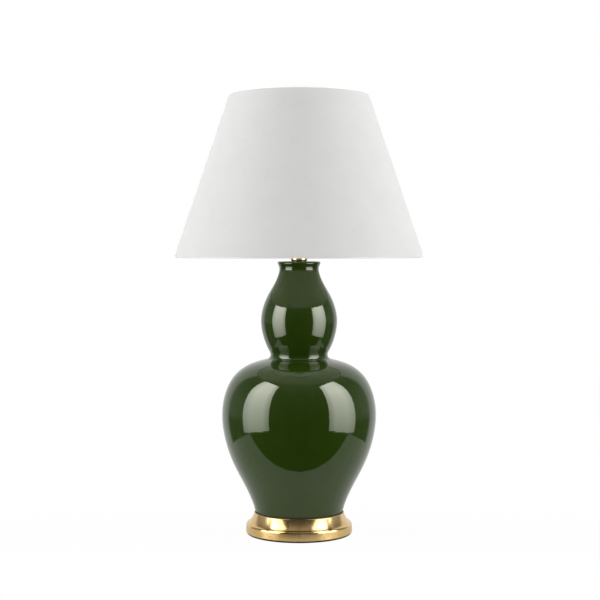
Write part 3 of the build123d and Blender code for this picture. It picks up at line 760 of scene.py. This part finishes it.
def knobMesh(k):
    # built upright as a fluted lathe form, then laid to face the front
    length, radius = k["length"], k["radius"]
    outline = [(0, k["boreDepth"]), (k["bore"], k["boreDepth"]), (k["bore"], 0), (radius - 0.6, 0),
               (radius, 0.6), (radius, length - k["dome"])]
    outline += arc((radius - k["dome"], length - k["dome"]), k["dome"], 0, 80, 6)[1:]
    outline += [(3.0, length - 0.02), (2.2, length - 0.5), (0, length - 0.6)]

    def flute(angle, r, z):
        if r < radius - k["dome"] - 0.3:
            return r, z
        cut = max(0.0, cos(angle * k["flutes"])) ** 2
        return r - k["flute"] * cut, z
    bm = lathe(held(outline, 0.25), evenAngles(k["flutes"] * 16), flute)
    lay = Matrix.Translation((0, -k["start"] * mm, k["level"] * mm))
    lay = lay @ Matrix.Rotation(pi / 2, 4, "X")
    bmesh.ops.transform(bm, matrix=lay, verts=bm.verts)
    return bm


knobPiece = addPiece("switchKnob", knobMesh(switchKnob), phenolic, "switch", 40.0)
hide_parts("switch_knob")

screwShell = {"outer": 13.7, "bore": 13.3, "bottom": 552.7, "top": 576.7, "pitch": 3.63,
              "depth": 0.3, "floor": 3.9, "rows": 52}


def shellOutline(s):
    rows, floor = s["rows"], s["bottom"] + 0.4
    inside = [(s["bore"], s["top"] - (s["top"] - s["bottom"] - 0.4) * i / rows)
              for i in range(rows + 1)]
    return inside + [(s["floor"], floor), (s["floor"], s["bottom"]),
                     (s["outer"], s["bottom"]), (s["outer"] + 0.25, s["top"])]


def shellThread(angle, radius, height):
    # thread rolled into the socket's cup
    s = screwShell
    if radius < s["bore"] or radius > s["bore"] + 0.01:
        return radius, height
    fade = max(0.0, min(1.0, (height - s["bottom"] - 1) / 2, (s["top"] - height) / 1.5))
    wave = 0.5 - 0.5 * cos(fullTurn * height / s["pitch"] - angle)
    return radius + s["depth"] * wave * fade, height


cupMesh = lathe(shellOutline(screwShell), evenAngles(96), shellThread)
cupPiece = addPiece("socketThread", cupMesh, aluminium, "lamp_base", 60.0)
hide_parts("socket_screw_shell")
print("harp, socket, switch and bulb ready")


# table, softboxes and surroundings, in metres

table = {
    "corners": [(-0.69, -0.21), (0.69, -0.21), (0.56, 0.17), (0.48, 0.32), (1.4, 3.0),
                (-1.4, 3.0), (-0.48, 0.32), (-0.56, 0.17)],
    "white": (0.90, 0.90, 0.90), "shadowShare": 0.05, "glow": 1.01, "shine": 0.4,
}
softbox = {
    "inner": (0.460, -0.535), "outer": (0.871, -0.076), "innerLow": 0.045, "outerLow": -0.030,
    "innerHigh": 1.08, "outerHigh": 1.42, "dim": 3.9, "gain": 10.0, "most": 11.2,
    "innerShare": 0.62, "innerFade": 0.22, "outerShare": 0.68, "outerFade": 0.55,
}
scrim = {
    "inner": 0.0835, "outer": 0.16, "level": 0.0465, "halfTurn": 60,
    # how much light it lets by, at angles from the front in degrees
    "passes": [(13.0, 1.0), (17.0, 0.42), (30.0, 0.40), (42.0, 0.66), (46.0, 0.14), (50.0, 0.12),
               (55.0, 1.0)],
}
# dark flags keep the softboxes' glare off the far sides and the back
flag = {
    "glow": 0.05, "sideGlow": 0.12, "sidePlace": 0.02,
    "outline": [  # distance from the axis and height, just clear of the gourd
        (0.102, 0.002), (0.102, 0.03), (0.090, 0.045), (0.125, 0.13), (0.146, 0.19),
        (0.146, 0.24), (0.120, 0.295), (0.075, 0.322), (0.060, 0.331), (0.075, 0.355),
        (0.076, 0.40), (0.060, 0.44), (0.042, 0.48), (0.044, 0.502), (0.20, 0.502),
        (0.26, 0.56), (0.26, 1.3), (1.2, 1.3), (1.2, 0.002)],
}
# levels that gloss sees round the lamp, and the ranges in degrees over which they change
room = {
    "front": 0.03, "frontHigh": 0.13, "frontRise": (0.0, 45.0),
    "side": 0.34, "highSide": 0.17, "sideRise": (8.0, 40.0), "sideTurn": (60.0, 95.0),
    "back": 0.90, "backTurn": (124.0, 135.0),
    "horizon": (-8.0, -2.0), "belowHorizon": 0.3, "overhead": (35.0, 70.0), "overheadGloss": 0.25,
    # light on matt surfaces: azimuth from the front, half width, strength
    "fill": [(10.0, 16.0, 1.12), (46.0, 14.0, 0.80), (90.0, 16.0, 5.5), (155.0, 16.0, 1.0)],
    "fillRise": (20.0, 65.0), "ceiling": 0.7, "ground": (-4.0, 0.0), "bounce": (0.62, 0.62, 0.62),
}
white = (1, 1, 1)
toDegrees = 180 / pi


def addStage(name, corners, material):
    mesh = bpy.data.meshes.new(name)
    mesh.from_pydata(corners, [], [range(len(corners))])
    mesh.materials.append(material)
    piece = bpy.data.objects.new(name, mesh)
    scene.collection.objects.link(piece)
    return piece


def tableFinish(t):
    # white to the camera with a trace of contact shadow, plain white paper to everything else
    f = newFinish("whiteTable")
    path = f.add("ShaderNodeLightPath")
    paper = f.add("ShaderNodeBsdfDiffuse", values={"Color": t["white"]})
    glow = f.add("ShaderNodeEmission", values={"Color": white, "Strength": t["glow"]})
    seen = f.add("ShaderNodeMixShader", values=[t["shadowShare"], glow, paper])
    inGloss = f.other(path, "Is Glossy Ray") * t["shine"]
    shine = f.add("ShaderNodeMixShader", values=[inGloss, paper, glow])
    surface = f.add("ShaderNodeMixShader", values=[path, shine, seen])
    under = f.add("ShaderNodeNewGeometry", output="Backfacing")
    clear = f.add("ShaderNodeBsdfTransparent")
    return f.finish(f.add("ShaderNodeMixShader", values=[under, surface, clear]))


addStage("tableTop", [(x, y, 0) for x, y in table["corners"]], tableFinish(table))


def softboxFinish(s):
    # brighter towards its top, as its lamp hangs high, and dimmer at both side edges
    f = newFinish("softboxCloth")
    x, _, z = f.axes(f.add("ShaderNodeNewGeometry", output="Position"))
    level = (z * s["gain"] + s["dim"]).calc("MINIMUM", s["most"])
    across = (x.calc("ABSOLUTE") - s["inner"][0]) / (s["outer"][0] - s["inner"][0])
    level = level * f.between(across, 0.0, s["innerFade"], s["innerShare"], 1.0)
    level = level * f.between(across, s["outerFade"], 1.0, 1.0, s["outerShare"])
    return f.finish(f.add("ShaderNodeEmission", values={"Color": white, "Strength": level}))


def onlyForGloss(piece):  # nothing but reflections meets it
    piece.visible_camera = piece.visible_diffuse = piece.visible_shadow = False
    piece.visible_transmission = piece.visible_volume_scatter = False


softCloth = softboxFinish(softbox)
for side, name in ((-1, "softboxLeft"), (1, "softboxRight")):
    s, (ix, iy), (ox, oy) = softbox, softbox["inner"], softbox["outer"]
    corners = [(side * ix, iy, s["innerLow"]), (side * ox, oy, s["outerLow"]),
               (side * ox, oy, s["outerHigh"]), (side * ix, iy, s["innerHigh"])]
    onlyForGloss(addStage(name, corners, softCloth))


def scrimFinish(s):
    # thins the light that climbs from the brass to the softboxes
    f = newFinish("scrimNet")
    x, y, _ = f.axes(f.add("ShaderNodeNewGeometry", output="Position"))
    azimuth = x.calc("ABSOLUTE").calc("ARCTAN2", y * -1.0) * toDegrees
    span = s["passes"][-1][0]
    stops = [(turn / span, (share,) * 3) for turn, share in s["passes"]]
    passes = f.add("ShaderNodeValToRGB", {"stops": stops}, [azimuth * (1 / span)])
    above = f.add("ShaderNodeNewGeometry", output="Backfacing")
    clear = f.add("ShaderNodeBsdfTransparent", values={"Color": white})
    solid = f.add("ShaderNodeBsdfTransparent", values={"Color": (0, 0, 0)})
    return f.finish(f.add("ShaderNodeMixShader",
                          values=[(1 - above) * (1 - passes), clear, solid]))


def addScrim(s):
    corners, turn = [], s["halfTurn"]
    for reach, turns in ((s["inner"], range(-turn, turn + 1, 5)),
                         (s["outer"], range(turn, -turn - 1, -5))):
        corners += [(reach * sin(radians(t)), -reach * cos(radians(t)), s["level"]) for t in turns]
    net = addStage("scrimNet", corners, scrimFinish(s))
    if net.data.polygons[0].normal.z > 0:  # its front has to face down
        net.data.flip_normals()
    onlyForGloss(net)


addScrim(scrim)


def flagFinish(name, glow, clearFromFront):
    # dark cloth; with clearFromFront 1, light that travels to the back passes it
    f = newFinish(name)
    dark = f.add("ShaderNodeEmission", values={"Color": white, "Strength": glow})
    clear = f.add("ShaderNodeBsdfTransparent", values={"Color": white})
    under = f.add("ShaderNodeNewGeometry", output="Backfacing")
    return f.finish(f.add("ShaderNodeMixShader", values=[under * clearFromFront, dark, clear]))


def addFlags(s):
    front = [(0, -reach, level) for reach, level in s["outline"]]
    onlyForGloss(addStage("flagFront", front, flagFinish("flagCloth", s["glow"], 0.0)))
    sideCloth = flagFinish("flagSideCloth", s["sideGlow"], 1.0)
    for side, name in ((-1, "flagLeft"), (1, "flagRight")):
        corners = [(side * reach, s["sidePlace"], level) for reach, level in s["outline"]]
        wing = addStage(name, corners, sideCloth)
        if wing.data.polygons[0].normal.y < 0:  # its front has to face the back
            wing.data.flip_normals()
        onlyForGloss(wing)


addFlags(flag)


def surroundings(r):
    # white behind for the camera; for gloss a dark front, grey sides and a white back
    # and soft fill for matt surfaces
    world = bpy.data.worlds.new("studio")
    scene.world = world
    f = Finish(world)
    path = f.add("ShaderNodeLightPath")
    toGloss = f.other(path, "Is Glossy Ray")
    x, y, z = f.axes(f.add("ShaderNodeTexCoord", output="Generated"))
    azimuth = x.calc("ARCTAN2", y * -1.0).calc("ABSOLUTE") * toDegrees
    height = z.calc("ARCSINE") * toDegrees
    upper = f.between(height, *r["frontRise"], r["front"], r["frontHigh"])
    ahead = f.between(azimuth, *r["sideTurn"])
    side = f.between(height, *r["sideRise"], r["side"], r["highSide"])
    level = upper * (1 - ahead) + ahead * side
    level = level * f.between(height, *r["horizon"], r["belowHorizon"], 1.0)
    behind = f.between(azimuth, *r["backTurn"])
    gloss = level * (1 - behind) + behind * r["back"]
    gloss = gloss + f.between(height, *r["overhead"]) * r["overheadGloss"]
    matt = f.between(height, *r["overhead"]) * r["ceiling"]
    low = f.between(height, *r["fillRise"], 1.0, 0.0)
    for centre, width, strength in r["fill"]:
        off = (azimuth - centre) / width
        matt = matt + (off * off * -1.0).calc("EXPONENT") * low * strength
    matt = f.mix(f.between(height, *r["ground"]), r["bounce"], matt)
    level = gloss * toGloss + matt * (1 - toGloss)
    plainWhite = f.add("ShaderNodeBackground", values={"Color": white, "Strength": 1.0})
    light = f.add("ShaderNodeBackground", values={"Color": white, "Strength": level})
    f.finish(f.add("ShaderNodeMixShader", values=[path, light, plainWhite]), "World")


surroundings(room)
print("table, softboxes and surroundings ready")


# camera

camera = {"place": (0.0017, -2.536, 0.5256), "pitch": 2.158, "lens": 82.8, "sensor": 36.0}
lens = bpy.data.cameras.new("portraitCamera")
lens.lens, lens.sensor_width = camera["lens"], camera["sensor"]
eye = bpy.data.objects.new("portraitCamera", lens)
eye.location = camera["place"]
eye.rotation_euler = (radians(90 - camera["pitch"]), 0, 0)
scene.collection.objects.link(eye)
scene.camera = eye
scene.view_settings.view_transform = "Standard"
scene.view_settings.look = "None"
